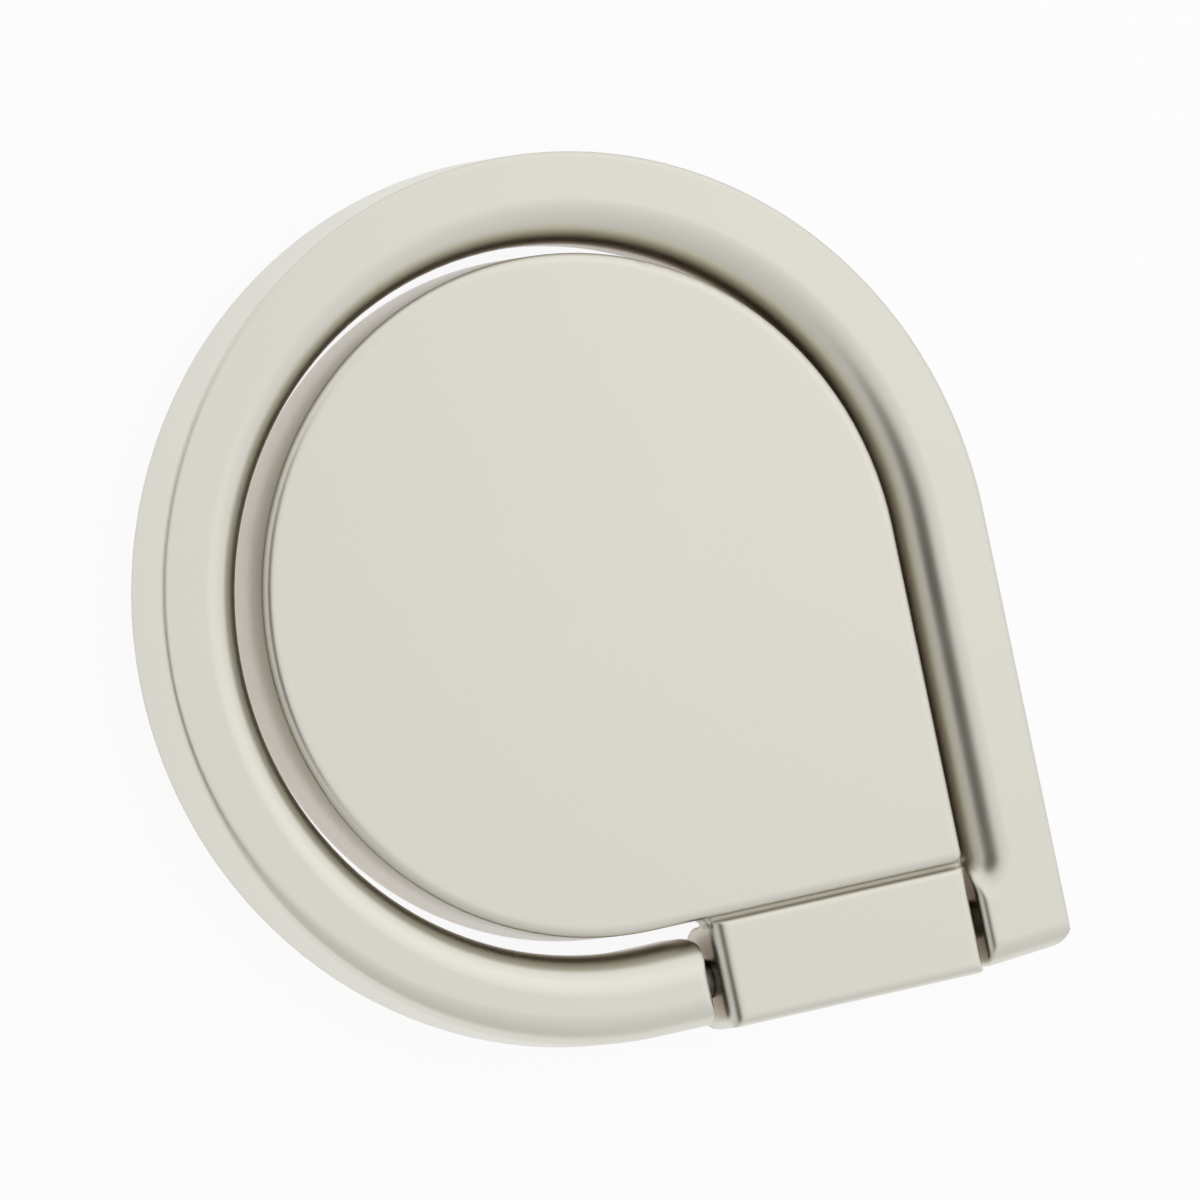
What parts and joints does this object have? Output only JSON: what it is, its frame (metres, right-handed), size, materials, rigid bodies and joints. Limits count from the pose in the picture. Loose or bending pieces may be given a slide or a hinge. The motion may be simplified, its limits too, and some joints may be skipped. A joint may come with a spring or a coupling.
{
  "type": "phone ring holder",
  "caption": "Teardrop phone ring holder: a flat adhesive base plate framed by a matching finger ring, which swings up on a hinge pin as a finger grip or a stand.",
  "frame": {"origin": "centre of the round outlines, on the back face of the adhesive pad", "axes": "+X along the hinge towards the square corner, +Y away from the hinge across the plate, +Z out of the plate's face, away from the phone"},
  "size_m": [0.0355, 0.0358, 0.0046],
  "materials": {
    "satin_nickel": "satin nickel plating on a zinc die casting",
    "pin_steel": "plain ground steel",
    "adhesive_foam": "matte closed-cell foam tape"
  },
  "bodies": {
    "base": {"base_plate": "satin_nickel", "adhesive_pad": "adhesive_foam"},
    "ring": {"finger_ring": "satin_nickel", "hinge_pin": "pin_steel"}
  },
  "joints": [
    {"name": "ring_hinge", "type": "hinge", "parent": "base", "child": "ring", "pos_m": [0.0082, -0.01596, 0.00258], "axis": [1, 0, 0], "range_deg": [0, 180]}
  ]
}
